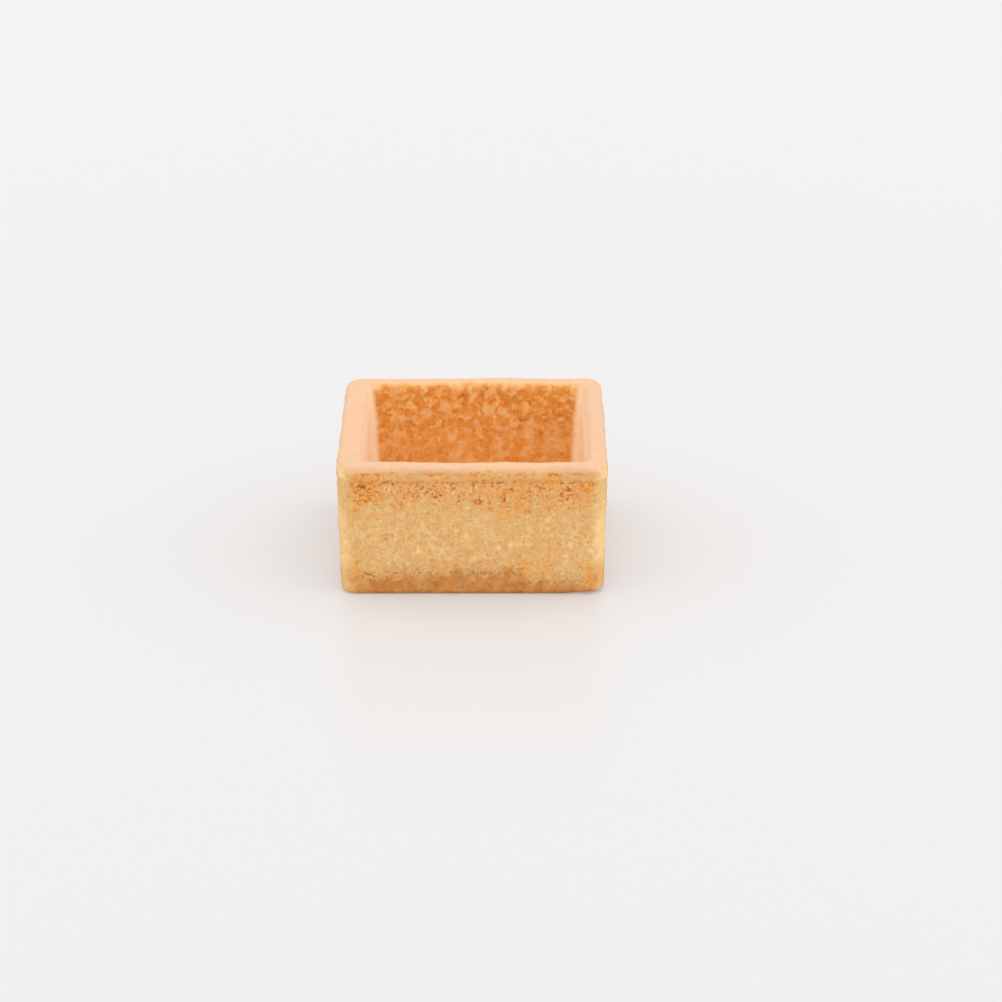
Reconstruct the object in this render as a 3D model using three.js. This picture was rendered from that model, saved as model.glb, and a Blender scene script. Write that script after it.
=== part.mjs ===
// A square tart shell of baked shortcrust pastry, open at the top.
// It is made of two pieces of rolled dough: a square bottom sheet, and one strip that stands round its edge as the
// four walls and swells into a small lip at the rim.
// Millimetres, +Z up. The origin is the centre of the underside, on the surface that the shell stands on.
import * as THREE from 'three';

const RIM_WIDTH = 33; // across the lip, outside to outside
const SHELL_HEIGHT = 16.8;
const SHEET_THICKNESS = 2.5;
const RIM_THICKNESS = 2.6; // from the lip's outside to the inner face
const LIP_HEIGHT = 1.9; // from the lip's underside to the top of the rim
const LIP_OVERHANG = 0.15; // how far the lip stands out of the wall below it
const OUTER_SHOULDER = 0.5; // radius of the rim's outer edge
const INNER_SHOULDER = 0.7; // radius of the rim's inner edge
const TOE_WIDTH = 0.5; // the wall's foot spreads this far over the sheet, where it was pressed down
const TOE_HEIGHT = 0.8;
const FOOT_ROUND = 0.4; // radius of the sheet's lower edge
const SEAM_ROUND = 0.2; // radius of both pieces' outer edges where they meet
const OUTER_CORNER = 2; // radius of the four corners, seen from above
const INNER_CORNER = 1.2;
const OUTER_DRAFT = THREE.MathUtils.degToRad(0.8); // the walls lean out a little towards the rim
const INNER_DRAFT = THREE.MathUtils.degToRad(3);

const CORNER_STEPS = 6; // flat faces in each corner's quarter turn
const ARC_DIVISIONS = 2; // a profile's arc gets twice as many flat faces

const QUARTER_TURN = Math.PI / 2;
const lipHalf = RIM_WIDTH / 2;
const innerHalf = lipHalf - RIM_THICKNESS; // the inner face where the rim's inner edge begins
const lipUnderside = SHELL_HEIGHT - LIP_HEIGHT;

// Half the shell's outer width below the lip, at height z.
function outerHalfAt(z) {
  return lipHalf - LIP_OVERHANG - (lipUnderside - z) * Math.tan(OUTER_DRAFT);
}

// Half the cavity's width at height z.
function innerHalfAt(z) {
  return innerHalf - (SHELL_HEIGHT - INNER_SHOULDER - z) * Math.tan(INNER_DRAFT);
}

// The plan's corner radius where its half-width is halfWidth: it grows from the inner face to the outer one.
function cornerRadius(halfWidth) {
  const between = THREE.MathUtils.clamp(THREE.MathUtils.inverseLerp(innerHalf, lipHalf, halfWidth), 0, 1);
  return Math.min(THREE.MathUtils.lerp(INNER_CORNER, OUTER_CORNER, between), halfWidth);
}

// One entry for each point of a rounded square: its corner's diagonal and the direction out of that corner's centre.
function outlineDirections() {
  const directions = [];
  for (let corner = 0; corner < 4; corner++) {
    const diagonal = (corner + 0.5) * QUARTER_TURN;
    for (let step = 0; step <= CORNER_STEPS; step++) {
      const angle = (corner + step / CORNER_STEPS) * QUARTER_TURN;
      directions.push({
        corner: new THREE.Vector2(Math.sign(Math.cos(diagonal)), Math.sign(Math.sin(diagonal))),
        outward: new THREE.Vector2(Math.cos(angle), Math.sin(angle)),
      });
    }
  }
  return directions;
}

// A body with the same profile all round a rounded square. The profile runs counter-clockwise in half-width and
// height. It is turned on a lathe, and then each ring is moved out to the square of that half-width.
function squareTurned(profile) {
  const points = profile.getPoints(ARC_DIVISIONS);
  const directions = outlineDirections();
  const geometry = new THREE.LatheGeometry(points, directions.length);
  const position = geometry.attributes.position;
  for (let index = 0; index < position.count; index++) {
    const { corner, outward } = directions[Math.floor(index / points.length) % directions.length];
    const { x: halfWidth, y: height } = points[index % points.length];
    const radius = cornerRadius(halfWidth);
    const toCentre = halfWidth - radius;
    position.setXYZ(
      index,
      corner.x * toCentre + outward.x * radius,
      corner.y * toCentre + outward.y * radius,
      height,
    );
  }
  geometry.computeVertexNormals();
  return geometry;
}

// The bottom sheet: flat above and below, with a rounded lower edge and a small round where the wall meets it.
function baseSheetProfile() {
  const footHalf = outerHalfAt(0);
  const topHalf = outerHalfAt(SHEET_THICKNESS);
  const profile = new THREE.Path();
  profile.moveTo(0, 0);
  profile.lineTo(footHalf - FOOT_ROUND, 0);
  profile.absarc(footHalf - FOOT_ROUND, FOOT_ROUND, FOOT_ROUND, -QUARTER_TURN, 0, false);
  profile.lineTo(topHalf, SHEET_THICKNESS - SEAM_ROUND);
  profile.absarc(topHalf - SEAM_ROUND, SHEET_THICKNESS - SEAM_ROUND, SEAM_ROUND, 0, QUARTER_TURN, false);
  profile.lineTo(0, SHEET_THICKNESS);
  return profile;
}

// The wall: it stands on the sheet, leans out to the lip, goes over the rounded rim and down the inner face to the toe.
function wallStripProfile() {
  const seamHalf = outerHalfAt(SHEET_THICKNESS);
  const toeTop = SHEET_THICKNESS + TOE_HEIGHT;
  const profile = new THREE.Path();
  profile.moveTo(seamHalf - SEAM_ROUND, SHEET_THICKNESS);
  profile.absarc(seamHalf - SEAM_ROUND, SHEET_THICKNESS + SEAM_ROUND, SEAM_ROUND, -QUARTER_TURN, 0, false);
  profile.lineTo(outerHalfAt(lipUnderside), lipUnderside);
  profile.lineTo(lipHalf, lipUnderside + LIP_OVERHANG);
  profile.lineTo(lipHalf, SHELL_HEIGHT - OUTER_SHOULDER);
  profile.absarc(lipHalf - OUTER_SHOULDER, SHELL_HEIGHT - OUTER_SHOULDER, OUTER_SHOULDER, 0, QUARTER_TURN, false);
  profile.lineTo(innerHalf + INNER_SHOULDER, SHELL_HEIGHT);
  profile.absarc(
    innerHalf + INNER_SHOULDER,
    SHELL_HEIGHT - INNER_SHOULDER,
    INNER_SHOULDER,
    QUARTER_TURN,
    2 * QUARTER_TURN,
    false,
  );
  profile.lineTo(innerHalfAt(toeTop), toeTop);
  profile.lineTo(innerHalfAt(SHEET_THICKNESS) - TOE_WIDTH, SHEET_THICKNESS);
  profile.closePath();
  return profile;
}

function pastry(color, roughness) {
  return new THREE.MeshStandardMaterial({ color, roughness, metalness: 0 });
}

const baseSheet = new THREE.Mesh(squareTurned(baseSheetProfile()), pastry(0xd9a566, 0.75));
baseSheet.name = 'base_sheet';

const wallStrip = new THREE.Mesh(squareTurned(wallStripProfile()), pastry(0xe6bd85, 0.8));
wallStrip.name = 'wall_strip';

const group = new THREE.Group();
group.add(baseSheet, wallStrip);

export default group;
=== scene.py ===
"""A square tart shell of baked shortcrust pastry, on a pale floor in soft light.

The shapes are worked out in millimetres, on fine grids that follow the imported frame's sizes, and become
metres when a mesh is made. Masks made of noise say where the crust is pitted, cracked, browner or paler. The
same masks push each grid point in or out and colour it."""

import itertools
import math
from types import SimpleNamespace

import bpy
import numpy as np
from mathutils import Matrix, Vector


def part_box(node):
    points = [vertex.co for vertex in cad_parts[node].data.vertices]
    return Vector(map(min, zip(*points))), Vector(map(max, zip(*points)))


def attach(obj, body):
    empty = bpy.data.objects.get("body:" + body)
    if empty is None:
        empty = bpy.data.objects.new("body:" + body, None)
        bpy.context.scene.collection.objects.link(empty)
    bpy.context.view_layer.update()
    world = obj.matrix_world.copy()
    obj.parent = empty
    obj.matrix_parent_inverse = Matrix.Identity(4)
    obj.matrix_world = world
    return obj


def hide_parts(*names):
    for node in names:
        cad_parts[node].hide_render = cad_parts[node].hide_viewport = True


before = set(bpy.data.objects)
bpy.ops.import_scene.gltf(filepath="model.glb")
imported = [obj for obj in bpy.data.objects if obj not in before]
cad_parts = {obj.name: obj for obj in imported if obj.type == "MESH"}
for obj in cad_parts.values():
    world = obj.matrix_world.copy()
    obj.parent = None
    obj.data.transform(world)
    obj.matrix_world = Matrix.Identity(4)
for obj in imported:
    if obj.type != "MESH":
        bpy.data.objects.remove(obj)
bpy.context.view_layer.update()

MM = 0.001
QUARTER = math.pi / 2
LEVEL = (1, 1, 0)  # points times this: noise that is the same at every height

# The frame's sizes.
RIM_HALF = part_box("wall_strip")[1].x / MM
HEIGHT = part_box("wall_strip")[1].z / MM
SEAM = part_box("base_sheet")[1].z / MM
SEAM_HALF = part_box("base_sheet")[1].x / MM

# The sections of the wall and the sheet. The rim's inner edge, the toe and the foot are rounder than in the
# frame.
RIM_THICKNESS = 2.6
LIP_HEIGHT = 1.9
LIP_OVERHANG = 0.15
OUTER_SHOULDER = 0.5
INNER_SHOULDER = 1.1
TOE_WIDTH = 0.8
TOE_HEIGHT = 0.9
FOOT_ROUND = 0.6
OUTER_DRAFT = math.radians(0.8)
INNER_DRAFT = math.radians(3)

# The plan's corner radii: outside, at the rim's inner edge and low in the cavity.
OUTER_CORNER = 2.0
RIM_CORNER = 1.9
CAVITY_CORNER = 1.5
CAVITY_SHIFT = 0.2  # the cavity lies this far to the right
CAVITY_HOLLOW = 0.3  # low in the cavity the wall is this much thinner than its section
CORNER_LIFT = 0.22  # the sheet's front right corner curled up by this much in baking

CAVITY_HALF = RIM_HALF - RIM_THICKNESS
RIM_MIDDLE = RIM_HALF - RIM_THICKNESS / 2
LIP_LINE = HEIGHT - LIP_HEIGHT
OPEN_FLOOR = 12.5  # half the width of the cavity's floor between the toes

GRID_STEP = 0.105
SHEET_STEP = 0.17
JOINT_EDGE = 0.01  # a row this close to a sharp edge keeps the smooth shading true right up to it

# The front face's own marks. Creases: x, lower and upper end, depth. Cracks: x, z, length, tilt, depth.
FRONT_CREASES = ((5.95, 4.0, 7.4, 0.08), (9.35, 3.3, 7.9, 0.06), (3.3, 5.0, 7.0, 0.03))
FRONT_CRACKS = (
    (-12.9, 2.75, 0.6, -0.55, 0.15),
    (-12.4, 2.60, 0.8, -0.50, 0.15),
    (-12.0, 2.35, 0.5, -0.45, 0.12),
    (-11.4, 11.9, 0.5, -0.4, 0.12),
    (-10.5, 7.4, 0.4, 0.1, 0.10),
    (-12.5, 6.3, 0.3, -0.7, 0.08),
    (-9.4, 4.1, 0.4, 0.6, 0.10),
    (-8.3, 3.9, 0.6, -0.9, 0.12),
    (-6.6, 3.4, 0.5, -0.5, 0.12),
    (0.1, 3.1, 0.5, -0.4, 0.12),
    (1.0, 4.3, 0.5, 0.3, 0.12),
    (6.95, 11.0, 0.7, -0.95, 0.15),
    (11.0, 8.2, 0.4, 0.4, 0.10),
    (10.6, 6.7, 0.5, -0.7, 0.10),
    (13.3, 6.7, 0.4, -0.3, 0.10),
    (12.1, 4.8, 0.4, -1.1, 0.08),
    (9.8, 3.3, 0.4, 0.1, 0.12),
)
FRONT_PRICKS = (1.2, 2.2, 3.25, 4.2, 5.1)  # x of each, in one row
PRICK_HEIGHT = 2.73

# What each kind of mark does to the outer face: its push along the normal, and what it adds to the browning
# and to the darkness.
MARK_EFFECTS = {
    "pits": (-0.11, 0.30, 0.12),
    "small_pits": (-0.06, 0.20, 0.14),
    "grains": (0.05, -0.14, 0),
    "brown_specks": (0, 0.48, 0.20),
    "cream_specks": (0, -0.32, 0),
    "spots": (0, 0.26, 0),
    "lines": (-0.04, 0, 0.22),
    "lower_crevice": (-0.04, 0.25, 0.10),
    "upper_crevice": (-0.05, 0.30, 0.08),
    "seam_pits": (-0.09, 0, 0.45),
    "cracks": (-0.7, 0, 4),
}

# The light tent's own brightness, and its soft boxes: the way to each and its strength.
TENT_GLOW = 0.82
SOFT_BOXES = (
    ((1, 0, 1), 0.85),
    ((-1, 0, 1), 0.65),
    ((0, -1, 1), 0.40),
)
SOFT_BOX_FOCUS = 3.0
TENT_TINT = (1.0, 0.99, 0.99, 1)

FLOOR_SIZE = 8  # metres
FLOOR_SHADE = 0.45
FLOOR_GLOW = 0.25
FLOOR_TINT = (1.0, 0.985, 0.985, 1)

# The camera's place in widths of the rim, how far it looks down in degrees, and its lens.
CAMERA_PLACE = (0.1064, -11.39, 4.645)
CAMERA_DROP = 21.4
SENSOR_WIDTH = 36
LENS = 114.8

UV_MARGIN = 0.004  # between the patches of a UV sheet


# Noise and masks. A seed is any whole number: another one gives another pattern of the same kind.

def smooth_step(low, high, values):
    """0 below low, 1 above high, and a smooth rise between them. With low above high it falls instead."""
    share = np.clip((values - low) / (high - low), 0, 1)
    return share * share * (3 - 2 * share)


def bump(values, centre, reach):
    """1 at centre, falling smoothly to nothing over about twice reach."""
    return np.exp(-(((values - centre) / reach) ** 2))


def hashed(order, cell):
    """A number from 0 to 255 for each whole-numbered cell of space."""
    x, y, z = np.moveaxis(cell & 255, -1, 0)
    return order[(order[(order[x] + y) & 255] + z) & 255]


def lumps(points, size, seed):
    """Gradient noise from about -1 to 1, with lumps about size across."""
    rng = np.random.default_rng(seed)
    order = rng.permutation(256)
    slopes = rng.normal(size=(256, 3))
    slopes /= np.linalg.norm(slopes, axis=1, keepdims=True)
    scaled = points / size
    cell = np.floor(scaled).astype(int)
    inside = scaled - cell
    fade = inside**3 * (inside * (inside * 6 - 15) + 10)
    total = np.zeros(points.shape[:-1])
    for corner in itertools.product((0, 1), repeat=3):
        weight = np.prod(np.where(corner, fade, 1 - fade), axis=-1)
        total += weight * np.einsum("...i,...i", slopes[hashed(order, cell + corner)], inside - corner)
    return total * 1.7  # which brings it to about -1 to 1


def warped(points, amount, size, seed):
    """The points moved about by noise, which makes whatever is worked out from them ragged."""
    return points + amount * np.stack([lumps(points, size, seed + axis) for axis in range(3)], axis=-1)


def flakes(points, size, seed):
    """Cells about size across. Gives how far each point is from its cell's edge and from its cell's seat, and
    a level that the cell has."""
    rng = np.random.default_rng(seed)
    order = rng.permutation(256)
    seats = rng.random((256, 3))
    levels = rng.random(256)
    scaled = points / size
    cell = np.floor(scaled).astype(int)
    nearest = np.full(points.shape[:-1], np.inf)
    second = nearest.copy()
    level = np.zeros(points.shape[:-1])
    for near in itertools.product((-1, 0, 1), repeat=3):
        home = cell + near
        picked = hashed(order, home)
        away = np.linalg.norm(home + seats[picked] - scaled, axis=-1)
        closer = away < nearest
        second = np.where(closer, nearest, np.minimum(second, away))
        level = np.where(closer, levels[picked], level)
        nearest = np.where(closer, away, nearest)
    return second - nearest, nearest, level


def dots(points, spacing, seed, cover):
    """A mask of round dots of many sizes. Cover is the share, from 0 to 1, of places spacing apart that have
    one."""
    _, away, level = flakes(points, spacing, seed)
    over = level - 1 + cover
    radius = 0.2 + 0.45 * np.clip(over, 0, 1)
    return smooth_step(radius, 0.55 * radius, away) * smooth_step(0, 0.05, over)


def specks(points, size, seed, threshold):
    """A mask of ragged specks about size across. The lower the threshold, the more of the surface they
    cover."""
    values = lumps(points, size, seed) + 0.55 * lumps(points, size / 2, seed + 100)
    return smooth_step(threshold, threshold + 0.28, values)


def scratches(points, size, seed, threshold):
    """A mask of short curved lines, thin for their size."""
    ridge = bump(lumps(points, size, seed), 0, 0.11)
    return ridge * smooth_step(threshold, threshold + 0.3, lumps(points, 0.8 * size, seed + 200))


# The plan: rounded squares

def outline_columns():
    """The plan's columns, anticlockwise from the corner at +X +Y. A ring of half-width w and corner radius c
    has its points at skeleton * (w - c) + outward * c. A column's side, 0 to 3, is the corner that it starts
    from."""
    per_corner = round(OUTER_CORNER * QUARTER / GRID_STEP)
    per_side = round(2 * (RIM_HALF - OUTER_CORNER) / GRID_STEP)
    skeleton, outward = [], []
    for corner in range(4):
        start = corner * QUARTER
        diagonals = (start + QUARTER / 2, start + 3 * QUARTER / 2)
        here, after = (np.sign([math.cos(angle), math.sin(angle)]) for angle in diagonals)
        for step in range(per_corner):
            angle = start + QUARTER * step / per_corner
            skeleton.append(here)
            outward.append([math.cos(angle), math.sin(angle)])
        for step in range(per_side):
            skeleton.append(here + (after - here) * step / per_side)
            outward.append([math.cos(start + QUARTER), math.sin(start + QUARTER)])
    side = np.repeat(np.arange(4), per_corner + per_side)
    return np.array(skeleton), np.array(outward), side


def corner_radius(half_width, height):
    """The plan's corner radius. It shrinks from the outside to the rim's inner edge and down the cavity."""
    across = smooth_step(CAVITY_HALF, RIM_HALF, half_width)
    down = smooth_step(HEIGHT, HEIGHT - 6, height)
    inner = RIM_CORNER + (CAVITY_CORNER - RIM_CORNER) * down
    return inner + (OUTER_CORNER - inner) * across


# Sections: rows of half-width and height

def outer_half(height):
    """Half the outer width of the drafted outer face, lip left out."""
    return RIM_HALF - LIP_OVERHANG - (LIP_LINE - height) * math.tan(OUTER_DRAFT)


def inner_half(height):
    """Half the cavity's width."""
    return CAVITY_HALF - (HEIGHT - INNER_SHOULDER - height) * math.tan(INNER_DRAFT)


def line(start, end, step):
    """Points from start up to, but not at, end."""
    count = max(1, round(math.dist(start, end) / step))
    share = np.arange(count)[:, None] / count
    return np.array(start) + (np.array(end) - start) * share


def arc(centre, radius, start, end, step):
    """Points round an arc, from its start angle up to, but not at, its end."""
    count = max(3, round(abs(end - start) * radius / step))
    angle = start + (end - start) * np.arange(count) / count
    return np.array(centre) + radius * np.column_stack([np.cos(angle), np.sin(angle)])


def wall_section():
    """The wall's closed section: up the outside, over the rim, down the inside and back along the joint."""
    shoulder = HEIGHT - OUTER_SHOULDER
    inner_shoulder = HEIGHT - INNER_SHOULDER
    top_half = outer_half(LIP_LINE)
    foot = (outer_half(SEAM), SEAM)
    foot_edge = (foot[0], SEAM + JOINT_EDGE)
    toe_top = (inner_half(SEAM + TOE_HEIGHT), SEAM + TOE_HEIGHT)
    toe = (inner_half(SEAM) - TOE_WIDTH, SEAM)
    toe_edge = (toe[0] + JOINT_EDGE, SEAM + JOINT_EDGE)
    return np.vstack([
        [foot],
        line(foot_edge, (top_half, shoulder), GRID_STEP),
        arc((top_half - OUTER_SHOULDER, shoulder), OUTER_SHOULDER, 0, QUARTER, GRID_STEP),
        line((top_half - OUTER_SHOULDER, HEIGHT), (CAVITY_HALF + INNER_SHOULDER, HEIGHT), GRID_STEP),
        arc((CAVITY_HALF + INNER_SHOULDER, inner_shoulder), INNER_SHOULDER, QUARTER, 2 * QUARTER, GRID_STEP),
        line((CAVITY_HALF, inner_shoulder), toe_top, GRID_STEP),
        line(toe_top, toe_edge, GRID_STEP),
        [toe_edge],
        line(toe, foot, 8 * GRID_STEP),
    ])


def sheet_edge_section():
    """The sheet's edge, from its top down to its underside."""
    foot_half = outer_half(0)
    return np.vstack([
        [(outer_half(SEAM), SEAM)],
        line((outer_half(SEAM), SEAM - JOINT_EDGE), (foot_half, FOOT_ROUND), GRID_STEP),
        arc((foot_half - FOOT_ROUND, FOOT_ROUND), FOOT_ROUND, 0, -QUARTER, GRID_STEP),
        [(foot_half - FOOT_ROUND, 0)],
    ])


def section_normals(section):
    """The way out on the right of the section's run."""
    along = np.roll(section, -1, axis=0) - np.roll(section, 1, axis=0)
    along /= np.linalg.norm(along, axis=1, keepdims=True)
    return np.column_stack([along[:, 1], -along[:, 0]])


# The outer face's marks

def on_front(points):
    """1 on the front face, 0 on the others."""
    return smooth_step(1.5 - RIM_HALF, 0.5 - RIM_HALF, points[..., 1])


def seam_line(points):
    """The height of the joint between wall and sheet. It wanders, and dips at both ends of the front and in
    places on the other faces."""
    x, y, _ = np.moveaxis(points, -1, 0)
    ring = points * LEVEL
    front_dip = (smooth_step(5, 7.5, x) + 0.8 * smooth_step(-9.5, -12, x)) * smooth_step(-10, -15, y)
    other_dips = smooth_step(0.15, 0.5, lumps(ring, 13, 41)) * smooth_step(-15, -10, y)
    wander = 0.1 + 0.22 * lumps(ring, 3.5, 42) + 0.12 * lumps(ring, 1.2, 43)
    return SEAM + wander - 1.25 * np.maximum(front_dip, other_dips)


def crease(points, x, low, high, depth):
    """A faint, broken, upright crease in the front face, at x, between two heights."""
    wander = x + 0.25 * lumps(points * (0, 0, 1), 1.6, 51) + 0.12 * lumps(points, 0.6, 52)
    z = points[..., 2]
    reach = smooth_step(low - 0.4, low + 0.4, z) * smooth_step(high + 0.8, high - 0.8, z)
    broken = smooth_step(-0.3, 0.5, lumps(points, 0.8, 53))
    return depth * bump(points[..., 0], wander, 0.12) * on_front(points) * reach * broken


def crack(points, x, z, length, tilt, depth):
    """A short slanting crack in the front face, centred at x and z."""
    right = points[..., 0] - x
    up = points[..., 2] - z
    along = right * math.cos(tilt) + up * math.sin(tilt)
    across = up * math.cos(tilt) - right * math.sin(tilt) + 0.06 * lumps(points, 0.5, 54)
    return depth * bump(across, 0, 0.09) * bump(along, 0, length / 2) * on_front(points)


def pricks(points):
    """A row of small dents low in the front face."""
    x, _, z = np.moveaxis(points, -1, 0)
    row = sum(bump(x, place + 0.1 * lumps(points, 1.0, 84), 0.17) for place in FRONT_PRICKS)
    return row * bump(z, PRICK_HEIGHT + 0.08 * lumps(points, 0.7, 85), 0.12) * on_front(points)


def outside_zones(points):
    """Masks of the outer face's zones, and the heights over its seam and its lip's lower edge."""
    x, y, z = np.moveaxis(points, -1, 0)
    ring = points * LEVEL
    far = np.minimum(np.abs(x), np.abs(y))
    corner_edge = far + 0.35 * lumps(points, 0.7, 9) + 0.3 * lumps(points, 2.5, 45)
    corner = smooth_step(RIM_HALF - 2.6, RIM_HALF - 0.9, corner_edge)
    near_corner = smooth_step(RIM_HALF - 5, RIM_HALF - 2, far + 0.6 * lumps(points, 1.8, 89))

    over_seam = z - seam_line(points)
    foot = smooth_step(0.8, -0.8, over_seam + 0.75 * lumps(points, 1.2, 10) + 0.35 * lumps(points, 0.45, 80))
    above_seam = bump(over_seam, 0.8, 1.5) * (1 - foot)
    foot = foot * (1 - 0.45 * near_corner)

    over_lip_line = z - LIP_LINE - 0.14 * lumps(ring, 3, 11) - 0.10 * lumps(ring, 0.8, 12)
    lip = smooth_step(-0.35, 0.40, over_lip_line)
    ragged = z + 1.2 * lumps(points, 2.4, 13) + 0.8 * lumps(points, 0.9, 8)
    under_lip = smooth_step(LIP_LINE - 5.2, LIP_LINE - 1.8, ragged) * (1 - lip)

    plain = (1 - 0.5 * foot) * (1 - 0.75 * corner)
    busy = np.clip(0.8 * under_lip + 0.45 * above_seam + 0.35 * lip, 0, 1)
    busy = busy * (0.75 + 0.6 * lumps(points, 1.8, 7))
    return SimpleNamespace(
        far=far, corner=corner, foot=foot, lip=lip, under_lip=under_lip, above_seam=above_seam,
        plain=plain, busy=busy, over_seam=over_seam, over_lip_line=over_lip_line,
    )


def outside_marks(points, wobbled, zones):
    """A mask for each kind of mark in MARK_EFFECTS."""
    z = points[..., 2]
    ring = points * LEVEL
    flat = 1 - zones.corner
    pits = dots(wobbled, 0.80, 4, 0.10 + 0.65 * zones.busy) * zones.plain
    brown_specks = specks(wobbled, 0.38, 87, 0.24 - 0.15 * zones.under_lip) * zones.busy * zones.plain
    row_of_pits = bump(zones.over_seam + 0.2 * lumps(points, 0.9, 82), 0.3, 0.15)
    row_of_pits *= smooth_step(0.0, 0.4, lumps(points, 0.6, 14))
    lower_crevice = bump(zones.over_lip_line, -0.15, 0.17) * smooth_step(-0.35, 0.45, lumps(ring, 0.9, 15))
    upper_crevice = bump(zones.over_lip_line + 0.1 * lumps(ring, 0.6, 77), 0.95, 0.15)
    upper_crevice *= smooth_step(-0.1, 0.4, lumps(ring, 1.3, 16))
    creases = sum(crease(points, *facts) for facts in FRONT_CREASES)
    cracks = sum(crack(points, *facts) for facts in FRONT_CRACKS)
    return {
        "pits": pits,
        "small_pits": dots(wobbled, 0.50, 5, 0.16 + 0.60 * zones.busy) * zones.plain,
        "grains": dots(wobbled, 0.65, 6, 0.65 * zones.busy) * zones.plain * (1 - pits),
        "brown_specks": brown_specks,
        "cream_specks": specks(wobbled, 0.42, 88, 0.20) * zones.busy * zones.plain * (1 - brown_specks),
        "spots": specks(points, 0.60, 81, 0.62) * bump(z, LIP_LINE - 2.6, 2.4) * zones.plain,
        "lines": scratches(wobbled, 0.7, 71, 0.50 - 0.20 * zones.busy) * zones.plain,
        "lower_crevice": lower_crevice * flat,
        "upper_crevice": upper_crevice * flat,
        "seam_pits": np.maximum(row_of_pits * flat, pricks(points)),
        "cracks": creases + cracks,
    }


# The crust: what pushes the surface in and out, and what browns, darkens and pales it

def outside_push(points, zones):
    """The outer face's broad unevenness, its lip and its crumb, without the marks."""
    swell = LIP_OVERHANG * zones.lip * (0.9 + 0.8 * lumps(points * LEVEL, 2.0, 17))
    crumb = zones.plain * (0.035 * lumps(points, 1.0, 3) + 0.015 * lumps(points, 0.4, 18))
    hollow = 0.06 * zones.foot * (1 - zones.corner)
    return 0.10 * lumps(points, 8, 1) + 0.06 * lumps(points, 3, 2) + swell + crumb - hollow


def outside_browning(points, wobbled, zones):
    """How brown the outer face is baked, without the marks."""
    z = points[..., 2]
    flat = 1 - zones.corner
    patches = smooth_step(-0.1, 0.7, lumps(points, 3.5, 19))
    mottle = (0.10 * lumps(points, 1.0, 3) + 0.08 * lumps(wobbled, 0.55, 95)) * zones.plain
    streaks = 0.35 * lumps(points * (1, 1, 0.4), 0.40, 78) + lumps(points, 1.3, 79)
    beside_corner = bump(zones.far + 0.7 * lumps(points, 1.1, 21), RIM_HALF - 2.4, 0.6)
    beside_corner *= (1 - 0.7 * zones.corner) * smooth_step(-0.5, 0.5, lumps(points, 3.0, 90))
    beside_corner *= specks(wobbled, 0.5, 23, 0.0)
    low_blotch = smooth_step(RIM_HALF - 3.3, RIM_HALF - 1.7, zones.far + 0.8 * lumps(points, 1.5, 20))
    low_blotch *= smooth_step(4.6, 2.0, z)
    high_blotch = smooth_step(RIM_HALF - 5, RIM_HALF - 3, zones.far + lumps(points, 2, 22))
    high_blotch *= bump(z, LIP_LINE - 0.7, 0.7)

    browning = 0.23 + 0.13 * zones.under_lip + 0.05 * zones.above_seam + 0.08 * patches + mottle
    browning += 0.15 * zones.lip * flat + zones.foot * flat * (0.28 + 0.18 * streaks) + 0.20 * beside_corner
    browning += 0.30 * low_blotch * (1 - 0.6 * zones.corner) + 0.16 * high_blotch * flat
    # The rounded corners are made less brown: partly their own smooth crust, partly painted light for the
    # side light that they catch
    return browning - 0.20 * zones.corner * (0.8 + 0.2 * smooth_step(2, 8, z))


def outside_darkness(points, wobbled, zones):
    """How much darker than its browning the outer face is, without the marks. Along the floor it holds
    painted shade for the contact shadow.
    """
    foot = zones.foot * (0.42 + 0.20 * lumps(wobbled, 0.8, 83)) + 0.12 * bump(zones.over_seam, 0.6, 0.9)
    # Painted shade: the lowest 0.8 mm is darkened, standing in for the contact shadow along the floor
    painted_contact_shade = 0.20 * smooth_step(0.8, 0.0, points[..., 2]) * (1 - 0.6 * zones.corner)
    return foot * (1 - zones.corner) + painted_contact_shade


def outside_paleness(points, wobbled, zones):
    """How near the outer face comes to the rim's pale skin."""
    patches = smooth_step(0.0, 0.6, lumps(points, 2.2, 24))
    patches += 1.5 * (zones.under_lip + zones.lip) * specks(wobbled, 1.1, 86, 0.45)
    pale = 0.12 * (1 + zones.lip) * (1 - zones.corner) * (1 - zones.foot) * patches
    # The corners are painted paler higher up too: partly their own crust, partly painted light for the side
    # light
    return pale + 0.05 * zones.corner * smooth_step(2.0, 6, points[..., 2])


def outside_crust(points):
    """The outer face below the rim's crown: its push, browning, darkness, paleness and coarseness."""
    wobbled = warped(points, 0.12, 0.5, 91)
    zones = outside_zones(points)
    push = outside_push(points, zones)
    browning = outside_browning(points, wobbled, zones)
    dark = outside_darkness(points, wobbled, zones)
    for kind, mask in outside_marks(points, wobbled, zones).items():
        pushes, browns, darkens = MARK_EFFECTS[kind]
        fading = 0.4 + 0.6 * zones.busy if kind in ("pits", "small_pits") else 1
        push += pushes * mask
        browning += browns * mask * fading
        dark += darkens * mask
    return SimpleNamespace(
        push=push,
        browning=browning,
        dark=np.clip(dark, 0, 1),
        pale=outside_paleness(points, wobbled, zones),
        coarse=zones.plain,
    )


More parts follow.
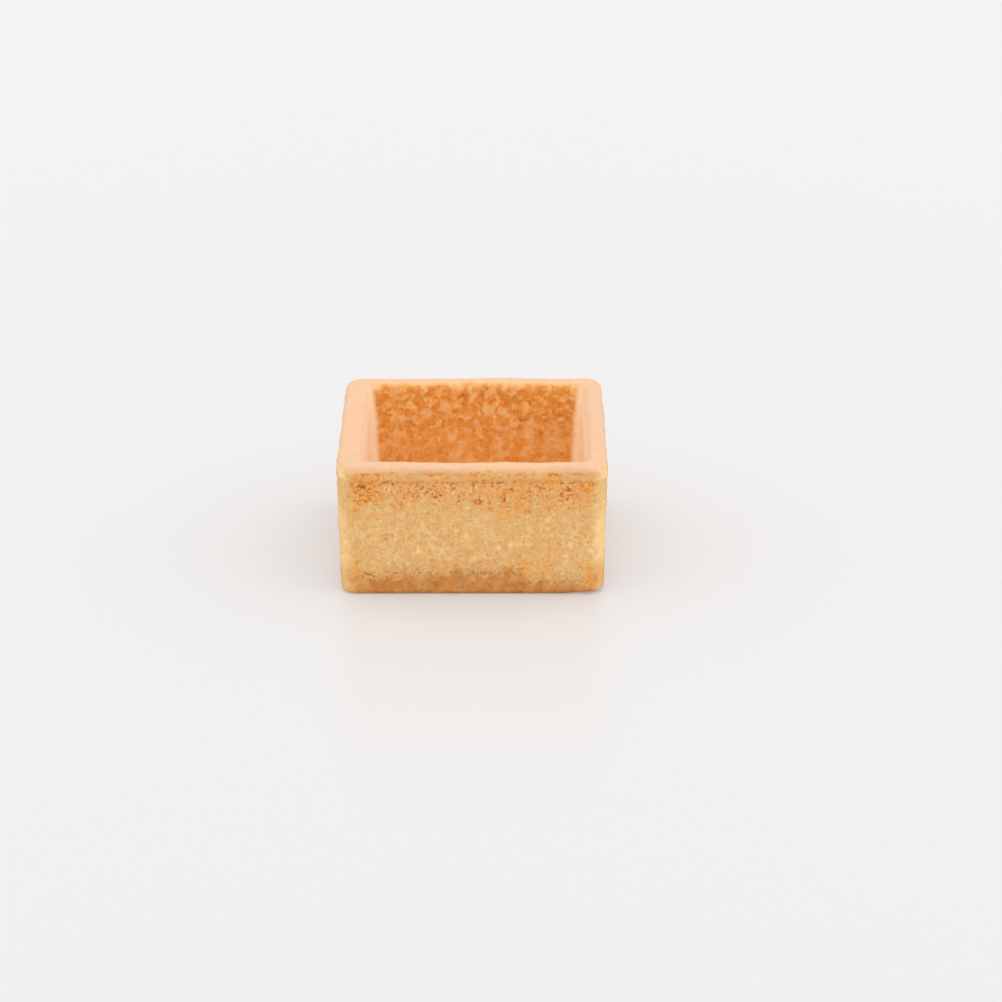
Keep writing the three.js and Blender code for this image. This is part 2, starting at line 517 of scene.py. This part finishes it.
def inside_crust(points):
    """The cavity's walls and floor: light flakes with browner gaps between them. Gives push, browning and
    darkness."""
    z = points[..., 2]
    ragged = warped(points, 0.30, 0.7, 61)
    edge, _, level = flakes(ragged, 1.7, 22)
    small_edge, _, small_level = flakes(ragged, 0.85, 23)
    patch = smooth_step(-0.8, 0.0, lumps(points, 3.5, 24))
    deep = smooth_step(HEIGHT - 4, HEIGHT - 10, z)
    top = smooth_step(HEIGHT - 4.5, HEIGHT - 1.2, z)
    flake = smooth_step(0.0, 0.7, edge) * smooth_step(0.20, 0.70, level) * (0.3 + 0.7 * patch)
    crumbs = smooth_step(0.0, 0.8, small_edge) * smooth_step(0.25, 0.75, small_level)
    blotches = smooth_step(-0.25, 0.60, lumps(ragged, 1.0, 67) + 0.45 * lumps(ragged, 0.45, 68))
    light = np.clip(0.85 * np.maximum(flake, blotches) + 0.45 * crumbs * (1 - 0.5 * deep) - 0.05, 0, 1)
    gaps = specks(ragged, 0.55, 25, 0.30 + 0.3 * lumps(points, 1.6, 26)) * (1 - light)

    push = 0.12 * lumps(points, 5, 27) + 0.05 * lumps(points, 1.8, 28) + 0.03 * light - 0.05 * gaps
    browning = 0.60 + 0.12 * top - 0.08 * deep + 0.08 * lumps(points, 2.2, 29)
    browning += (0.16 * gaps - 0.48 * light) * (1 - 0.30 * deep)
    dark = 0.08 * gaps * (1 - 0.5 * deep) + 0.08 * top * smooth_step(0.2, 0.7, lumps(points, 0.7, 65))
    return push, browning, dark


def rim_crust(points):
    """The rim's crown: smooth and waxy, and gently wavy. Gives push and browning."""
    ring = points * LEVEL
    push = 0.07 * lumps(ring, 6, 31) + 0.03 * lumps(ring, 2.2, 32) + 0.008 * lumps(points, 0.8, 33)
    browning = 0.03 + 0.03 * lumps(points, 1.5, 34)
    return push, browning


def under_crust(points, far):
    """The sheet's underside: browner, with shallow pits away from its edge. Gives lift, browning and
    darkness."""
    browning = 0.62 + 0.14 * lumps(points, 4, 71) + 0.08 * lumps(points, 1.2, 72)
    pits = smooth_step(0.35, 0.8, lumps(points, 0.55, 73) + 0.3 * lumps(points, 1.5, 74))
    lift = 0.12 * pits * smooth_step(SEAM_HALF - 0.5, SEAM_HALF - 1.5, far)
    return lift, browning, 0.5 * pits


# Meshes

def make_mesh(name, points, faces, corner_uv, attributes):
    """An object of four-cornered faces, with a UV for each face's corner and an attribute for each point."""
    mesh = bpy.data.meshes.new(name)
    mesh.vertices.add(len(points))
    mesh.vertices.foreach_set("co", (points * MM).astype(np.float32).ravel())
    mesh.loops.add(faces.size)
    mesh.loops.foreach_set("vertex_index", faces.astype(np.int32).ravel())
    mesh.polygons.add(len(faces))
    mesh.polygons.foreach_set("loop_start", np.arange(0, faces.size, 4, dtype=np.int32))
    mesh.polygons.foreach_set("use_smooth", np.ones(len(faces), bool))
    layer = mesh.uv_layers.new(name="OFBake")
    layer.data.foreach_set("uv", corner_uv.astype(np.float32).ravel())
    for label, values in attributes.items():
        attribute = mesh.attributes.new(label, "FLOAT", "POINT")
        attribute.data.foreach_set("value", np.clip(values, 0, 1).astype(np.float32).ravel())
    mesh.update()
    mesh.validate()
    piece = bpy.data.objects.new(name, mesh)
    bpy.context.scene.collection.objects.link(piece)
    return piece


def quads(index):
    """The faces between neighbours in a grid of point numbers."""
    corners = (index[:-1, :-1], index[:-1, 1:], index[1:, 1:], index[1:, :-1])
    return np.stack(corners, axis=-1).reshape(-1, 4)


def patch_uv(rows, columns, low, high):
    """UVs for the quads of a grid that fills the box from low to high."""
    u = np.linspace(low[0], high[0], columns + 1)
    v = np.linspace(low[1], high[1], rows + 1)
    place = np.stack(np.meshgrid(u, v), axis=-1)
    return np.stack([place[:-1, :-1], place[:-1, 1:], place[1:, 1:], place[1:, :-1]], axis=2)


def wall_grid():
    """The smooth wall: rows along its section, columns round the plan. Rows from split on are the inside."""
    section = wall_section()
    normal = section_normals(section)
    normal[:2] = normal[2]
    skeleton, outward, side = outline_columns()
    shape = (len(section), len(outward))
    half = section[:, :1]
    radius = corner_radius(section[:, 0], section[:, 1])[:, None, None]
    plan = skeleton * (half[..., None] - radius) + outward * radius
    points = np.dstack([plan, np.broadcast_to(section[:, 1:], shape)])
    normals = np.dstack([outward * normal[:, :1, None], np.broadcast_to(normal[:, 1:], shape)])
    split = int(np.argmax(section[:, 0] < RIM_MIDDLE))
    return SimpleNamespace(
        points=points, normals=normals, half=half, outward=outward, side=side, shape=shape, split=split,
    )


def crown_share(grid):
    """1 on the rim's pale crown, fading out over both shoulders."""
    z = grid.points[..., 2]
    ring = grid.points * LEVEL
    spill = 0.25 * lumps(ring, 1.6, 35) + 0.15 * lumps(ring, 0.6, 36)
    over_top = np.maximum(RIM_HALF - OUTER_SHOULDER - grid.half, 0)
    outside = smooth_step(HEIGHT - 0.95, HEIGHT - 0.15, z + over_top + 0.8 * spill)
    inside = smooth_step(CAVITY_HALF, CAVITY_HALF + 1.2, grid.half + spill)
    inside = np.minimum(inside, smooth_step(HEIGHT - 1.3, HEIGHT - 0.3, z + spill))
    return np.concatenate([outside[:grid.split], inside[grid.split:]])


def painted_light_side_walls(grid, points, depth):
    """1 on the cavity's left and right walls, down to the toe. Painted light: these walls are coloured paler
    and less marked to stand in for the side light that falls on them, and are also made smoother.
    """
    turned = np.abs(grid.outward[:, 0]) + 0.05 * lumps(points, 1.5, 39) + 0.04 * lumps(points, 0.5, 40)
    side = smooth_step(0.15, 0.60, turned - 0.25 * smooth_step(6, 1, depth))
    side *= 0.93 + 0.14 * lumps(points, 1.3, 44)
    return side * smooth_step(SEAM, SEAM + 2.4, points[..., 2] + 0.5 * lumps(points, 1.2, 46))


def wall_uv(grid):
    """Each side of the wall, with the corner that it starts from, fills a quarter of the sheet."""
    rows, columns = grid.shape
    per_side = columns // 4
    across, up = np.meshgrid(np.arange(columns) % per_side, np.arange(rows))
    across = np.stack([across, across + 1, across + 1, across], axis=-1) / per_side
    up = np.stack([up, up, up + 1, up + 1], axis=-1) / rows
    side = grid.side[None, :, None]
    u = (side % 2 + UV_MARGIN + across * (1 - 2 * UV_MARGIN)) / 2
    v = (side // 2 + UV_MARGIN + up * (1 - 2 * UV_MARGIN)) / 2
    return np.stack([u, v], axis=-1)


def wall_piece():
    """The wall strip: its outside, its inside and the crown that joins them."""
    grid = wall_grid()
    split = grid.split
    inner = grid.points[split:]
    depth = HEIGHT - inner[..., 2]
    crown = crown_share(grid)
    side = painted_light_side_walls(grid, inner, depth)
    above_joint = 1 - smooth_step(SEAM + 0.3, SEAM, inner[..., 2])
    outside = outside_crust(grid.points[:split])
    in_push, in_browning, in_dark = inside_crust(inner)
    in_push = (in_push * (1 - 0.7 * side) - CAVITY_HOLLOW * smooth_step(3, 8, depth)) * above_joint
    rim_push, rim_browning = rim_crust(grid.points)
    none_outside = np.zeros(outside.push.shape)

    def joined(for_outside, for_inside, for_crown):
        return np.concatenate([for_outside, for_inside]) * (1 - crown) + for_crown * crown

    # Painted light: the side mask makes the cavity's left and right walls pale and less brown, standing in
    # for the side light on them
    attributes = {
        "browning": joined(outside.browning, in_browning * (1 - 0.55 * side), rim_browning),
        "dark": joined(outside.dark, in_dark * (1 - side), 0),
        "pale": joined(outside.pale, 0.9 * side, 1),
        "coarse": joined(outside.coarse, 0.6 * (1 - side), 0),
        "inside": joined(none_outside, np.ones(depth.shape), 0),
        # deep: how far the pale skin is painted lighter down the cavity, painted light against its shade
        "deep": np.concatenate([none_outside, smooth_step(0.0, 1.5, depth)]),
    }

    points = grid.points + grid.normals * joined(outside.push, in_push, rim_push)[..., None]
    ring = grid.points * LEVEL
    wave = 0.10 * lumps(ring, 9, 37) + 0.04 * lumps(ring, 3, 38)
    points[..., 2] += wave * smooth_step(LIP_LINE - 4, HEIGHT, grid.points[..., 2])
    shift = CAVITY_SHIFT * smooth_step(RIM_MIDDLE, CAVITY_HALF, grid.half[split:])
    points[split:, :, 0] += shift * above_joint

    index = np.arange(crown.size).reshape(grid.shape)
    index = np.vstack([index, index[:1]])
    faces = quads(np.hstack([index, index[:, :1]]))
    return make_mesh("wall_strip_crust", points.reshape(-1, 3), faces, wall_uv(grid), attributes)


def rounded_square(shares, half):
    """Moves points of a square, given from -1 to 1 each way, into a rounded one, and gives the way out at
    each."""
    reach = np.abs(shares) * half
    straight = half - OUTER_CORNER
    over = np.maximum(reach - straight, 0)
    length = np.maximum(np.linalg.norm(over, axis=-1, keepdims=True), 1e-9)
    over *= over.max(axis=-1, keepdims=True) / length
    plan = np.sign(shares) * (np.minimum(reach, straight) + over)
    nearest_side = np.where(reach >= reach.max(axis=-1, keepdims=True), 1.0, 0.0)
    out = np.where(over.max(axis=-1, keepdims=True) > 0, over, nearest_side)
    out = np.sign(shares) * out / np.maximum(np.linalg.norm(out, axis=-1, keepdims=True), 1e-9)
    return plan, out


def at_height(plan, height):
    """Points of a plan, all at one height."""
    return np.concatenate([plan, np.full((*plan.shape[:-1], 1), height)], axis=-1)


def front_corner_lift(points):
    """How far the curl of the sheet's front right corner lifts each point."""
    x, y, z = np.moveaxis(points, -1, 0)
    return CORNER_LIFT * smooth_step(10.5, 14.5, x) * smooth_step(-10, -14.5, y) * smooth_step(1.6, 0.0, z)


def sheet_edge(shares):
    """The sheet's edge, row by row down from its top, and its crust."""
    section = sheet_edge_section()
    rows = [rounded_square(shares, half) for half, _ in section]
    smooth = np.stack([at_height(plan, height) for (plan, _), height in zip(rows, section[:, 1])])
    outward = np.stack([out for _, out in rows])
    normal = -section_normals(section)
    upward = np.broadcast_to(normal[:, 1:], smooth.shape[:2])
    normals = np.dstack([outward * normal[:, :1, None], upward])
    normals[:2] = normals[2]
    crust = outside_crust(smooth)
    push = crust.push * (1 - smooth_step(0.5, 0.0, smooth[..., 2]))
    points = smooth + normals * push[..., None]
    points[..., 2] += front_corner_lift(smooth)
    return points, crust


def sheet_top(shares):
    """The sheet's upper face, which is the cavity's floor, and its browning and darkness."""
    plan, out = rounded_square(shares, SEAM_HALF)
    smooth = at_height(plan, SEAM)
    far = np.max(np.abs(plan), axis=-1)
    near_edge = smooth_step(SEAM_HALF - 2.5, SEAM_HALF, far)
    edge_push = outside_crust(smooth).push
    floor_push, browning, dark = inside_crust(smooth)
    points = smooth.copy()
    points[..., :2] += out * (edge_push * near_edge)[..., None]
    points[..., 2] += floor_push * smooth_step(OPEN_FLOOR, OPEN_FLOOR - 0.9, far)
    return points, far, browning - 0.05, dark


def sheet_bottom(shares, far):
    """The sheet's underside, and its browning and darkness."""
    plan, _ = rounded_square(shares, outer_half(0) - FOOT_ROUND)
    smooth = at_height(plan, 0.0)
    lift, browning, dark = under_crust(smooth, far)
    points = smooth.copy()
    points[..., 2] += lift + front_corner_lift(smooth)
    return points, browning, dark


def sheet_uv(count, edge_rows):
    """The two flat faces side by side, and the four sides of the edge as strips above them."""
    low, high, middle = UV_MARGIN, 1 - UV_MARGIN, 0.5
    strip_foot, strip_height, strip_gap = 0.505, 0.115, 0.008
    strips = []
    for side in range(4):
        foot = strip_foot + side * (strip_height + strip_gap)
        strip = patch_uv(edge_rows - 1, count, (low, foot), (high, foot + strip_height))
        strips.append(strip[..., ::-1, :])
    parts = [
        patch_uv(count, count, (low, low), (middle - UV_MARGIN, middle - UV_MARGIN)),
        patch_uv(count, count, (middle + UV_MARGIN, low), (high, middle - UV_MARGIN))[..., ::-1, :],
        np.concatenate(strips, axis=1),
    ]
    return np.concatenate([part.reshape(-1, 2) for part in parts])


def sheet_piece():
    """The bottom sheet: its top, its underside and the edge that joins them."""
    count = round(2 * SEAM_HALF / SHEET_STEP)
    size = count + 1
    steps = np.arange(count)
    column = np.concatenate([steps, np.full(count, count), count - steps, np.zeros(count, int)])
    row = np.roll(column, count)
    shares = np.stack(np.meshgrid(np.linspace(-1, 1, size), np.linspace(-1, 1, size)), axis=-1)

    top, far, top_browning, top_dark = sheet_top(shares)
    bottom, bottom_browning, bottom_dark = sheet_bottom(shares, far)
    edge, edge_crust = sheet_edge(shares[row, column])
    top[row, column] = edge[0]
    bottom[row, column] = edge[-1]
    none = np.zeros((size, size))
    none_edge = np.zeros(edge.shape[:2])

    def joined(for_top, for_bottom, for_edge):
        shape = (-1,) + for_edge.shape[2:]
        return np.concatenate([part.reshape(shape) for part in (for_top, for_bottom, for_edge[1:-1])])

    attributes = {
        "browning": joined(top_browning, bottom_browning, edge_crust.browning),
        "dark": joined(top_dark, bottom_dark, edge_crust.dark),
        "pale": joined(none, none, edge_crust.pale),
        "coarse": joined(none + 0.6, none + 0.5, edge_crust.coarse),
        "inside": joined(none + 1, none, none_edge),
        "deep": joined(none + 1, none, none_edge),
    }

    top_index = np.arange(size * size).reshape(size, size)
    bottom_index = top_index + size * size
    between = 2 * size * size + np.arange((len(edge) - 2) * len(row)).reshape(-1, len(row))
    edge_index = np.vstack([top_index[row, column], between, bottom_index[row, column]])
    closed = np.hstack([edge_index, edge_index[:, :1]])
    faces = np.concatenate([quads(top_index), quads(bottom_index)[:, ::-1], quads(closed)[:, ::-1]])
    uv = sheet_uv(count, len(edge))
    return make_mesh("base_sheet_crust", joined(top, bottom, edge), faces, uv, attributes)


# Materials

def srgb(red, green, blue):
    """A colour given as the 0 to 255 values of a picture."""
    parts = [c / 255 for c in (red, green, blue)]
    return tuple(c / 12.92 if c <= 0.04045 else ((c + 0.055) / 1.055) ** 2.4 for c in parts) + (1.0,)


# The crust's colours, from barely baked to dark brown, outside and in the cavity.
CRUST_STOPS = (
    (0.00, srgb(251, 208, 146)),
    (0.12, srgb(235, 191, 128)),
    (0.25, srgb(223, 178, 113)),
    (0.50, srgb(234, 160, 77)),
    (0.75, srgb(212, 126, 54)),
    (1.00, srgb(160, 80, 28)),
)
INSIDE_STOPS = (
    (0.00, srgb(238, 194, 146)),
    (0.30, srgb(232, 178, 112)),
    (0.55, srgb(226, 155, 68)),
    (0.80, srgb(208, 128, 44)),
    (1.00, srgb(165, 90, 30)),
)
PALE = srgb(222, 180, 142)
PALE_SHADE = srgb(218, 172, 132)
# Painted light: the pale side walls turn to this lighter colour down the cavity, to make up for the shade
# there
PALE_INSIDE_PAINTED_LIGHT = srgb(254, 238, 210)
PIT = srgb(144, 84, 22)


def shader(tree, kind, inputs=None, **settings):
    """A new node. Each input, by its name or number, gets a value or a link from a socket."""
    node = tree.nodes.new(kind)
    for label, value in settings.items():
        setattr(node, label, value)
    for label, value in (inputs or {}).items():
        if isinstance(value, bpy.types.NodeSocket):
            tree.links.new(value, node.inputs[label])
        else:
            node.inputs[label].default_value = value
    return node


def maths(tree, operation, first, second, clamp=False):
    inputs = {0: first, 1: second}
    return shader(tree, "ShaderNodeMath", inputs, operation=operation, use_clamp=clamp).outputs[0]


def times(tree, first, second):
    return maths(tree, "MULTIPLY", first, second)


def attribute(tree, name):
    return shader(tree, "ShaderNodeAttribute", attribute_name=name).outputs["Fac"]


def noise(tree, where, size, detail=2.0, roughness=0.5):
    """Noise from 0 to 1 with features about size millimetres across."""
    inputs = {"Vector": where, "Scale": 1 / (size * MM), "Detail": detail, "Roughness": roughness}
    return shader(tree, "ShaderNodeTexNoise", inputs).outputs["Fac"]


def ramp(tree, factor, stops):
    node = shader(tree, "ShaderNodeValToRGB", {"Fac": factor})
    elements = node.color_ramp.elements
    while len(elements) < len(stops):
        elements.new(0.5)
    for element, (place, colour) in zip(elements, stops):
        element.position = place
        element.color = colour
    return node.outputs["Color"]


def mix(tree, factor, first, second):
    return shader(tree, "ShaderNodeMix", {0: factor, 6: first, 7: second}, data_type="RGBA").outputs[2]


def spread(tree, factor, at_none, at_full):
    """A value that goes from at_none to at_full as the factor goes from 0 to 1."""
    inputs = {"Value": factor, "To Min": at_none, "To Max": at_full}
    return shader(tree, "ShaderNodeMapRange", inputs).outputs[0]


def crust_colour(tree, mottle, speck):
    """The crust's colour, from the mesh's attributes and the two sizes of noise."""
    names = ("browning", "dark", "pale", "coarse", "inside", "deep")
    browning, dark, pale, coarse, inside, deep = (attribute(tree, name) for name in names)
    swing = maths(tree, "ADD", times(tree, coarse, 0.8), 0.2)
    mottled = times(tree, maths(tree, "SUBTRACT", mottle, 0.50), 0.6)
    lighter = times(tree, maths(tree, "SUBTRACT", 0.46, speck, clamp=True), 0.6)
    darker = times(tree, maths(tree, "SUBTRACT", speck, 0.50, clamp=True), 1.7)
    variation = times(tree, maths(tree, "SUBTRACT", mottled, lighter), swing)
    tone = maths(tree, "ADD", browning, variation, clamp=True)
    shade = maths(tree, "ADD", dark, times(tree, darker, swing), clamp=True)
    baked = mix(tree, inside, ramp(tree, tone, CRUST_STOPS), ramp(tree, tone, INSIDE_STOPS))
    skin = ramp(tree, mottle, ((0.3, PALE_SHADE), (0.7, PALE)))
    # Down the cavity the pale skin is painted lighter still: painted light against the shade there
    return mix(tree, pale, mix(tree, shade, baked, PIT), mix(tree, deep, skin, PALE_INSIDE_PAINTED_LIGHT))


def crust_material():
    """Matt baked crust with a fine grain, and waxier where it is pale."""
    material = bpy.data.materials.new("crust")
    material.use_nodes = True
    tree = material.node_tree
    tree.nodes.clear()
    where = shader(tree, "ShaderNodeTexCoord").outputs["Object"]
    mottle = noise(tree, where, 0.9, 3.0, 0.55)
    speck = noise(tree, where, 0.34, 3.0, 0.6)
    grain = noise(tree, where, 0.12)
    pale = attribute(tree, "pale")
    relief = {
        "Height": maths(tree, "ADD", times(tree, speck, 0.6), times(tree, grain, 0.4)),
        "Strength": spread(tree, pale, 0.8, 0.06),
        "Distance": 0.06 * MM,
    }
    skin = {
        "Base Color": crust_colour(tree, mottle, speck),
        "Roughness": spread(tree, pale, 0.78, 0.5),
        "Normal": shader(tree, "ShaderNodeBump", relief).outputs[0],
        "Subsurface Weight": 0.15,
        "Subsurface Scale": 0.3 * MM,
        "Subsurface Radius": (1.0, 0.45, 0.18),
    }
    surface = shader(tree, "ShaderNodeBsdfPrincipled", skin).outputs[0]
    shader(tree, "ShaderNodeOutputMaterial", {"Surface": surface})
    return material


def floor_material():
    """A pale sheet with a soft sheen, which glows a little, so that the shadow on it stays weak."""
    material = bpy.data.materials.new("pale_floor")
    material.use_nodes = True
    inputs = material.node_tree.nodes["Principled BSDF"].inputs
    inputs["Base Color"].default_value = (FLOOR_SHADE, FLOOR_SHADE, FLOOR_SHADE, 1)
    inputs["Roughness"].default_value = 0.3
    inputs["Specular IOR Level"].default_value = 0.3
    inputs["Emission Color"].default_value = FLOOR_TINT
    inputs["Emission Strength"].default_value = FLOOR_GLOW
    return material


# The set

def make_floor():
    bpy.ops.mesh.primitive_plane_add(size=FLOOR_SIZE)
    floor = bpy.context.object
    floor.name = "floor"
    floor.data.materials.append(floor_material())


def make_world():
    """A pale light tent with broad soft boxes high up in it."""
    world = bpy.data.worlds.new("tent")
    world.use_nodes = True
    tree = world.node_tree
    direction = shader(tree, "ShaderNodeTexCoord").outputs["Generated"]
    glow = TENT_GLOW
    for way, strength in SOFT_BOXES:
        inputs = {0: direction, 1: Vector(way).normalized()}
        towards = shader(tree, "ShaderNodeVectorMath", inputs, operation="DOT_PRODUCT").outputs["Value"]
        lobe = maths(tree, "POWER", maths(tree, "MAXIMUM", towards, 0.0), SOFT_BOX_FOCUS)
        glow = maths(tree, "ADD", glow, times(tree, lobe, strength))
    background = tree.nodes["Background"]
    background.inputs["Color"].default_value = TENT_TINT
    tree.links.new(glow, background.inputs["Strength"])
    bpy.context.scene.world = world


def make_camera():
    """A long lens in front of the shell and well above it."""
    width = 2 * RIM_HALF * MM
    data = bpy.data.cameras.new("camera")
    data.sensor_width = SENSOR_WIDTH
    data.lens = LENS
    camera = bpy.data.objects.new("camera", data)
    camera.location = [place * width for place in CAMERA_PLACE]
    camera.rotation_euler = (math.radians(90 - CAMERA_DROP), 0, 0)
    bpy.context.scene.collection.objects.link(camera)
    bpy.context.scene.camera = camera


crust = crust_material()
wall = wall_piece()
wall.data.materials.append(crust)
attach(wall, "root")
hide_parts("wall_strip")

sheet = sheet_piece()
sheet.data.materials.append(crust)
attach(sheet, "root")
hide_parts("base_sheet")

make_floor()
make_world()
make_camera()
bpy.context.scene.view_settings.view_transform = "Standard"
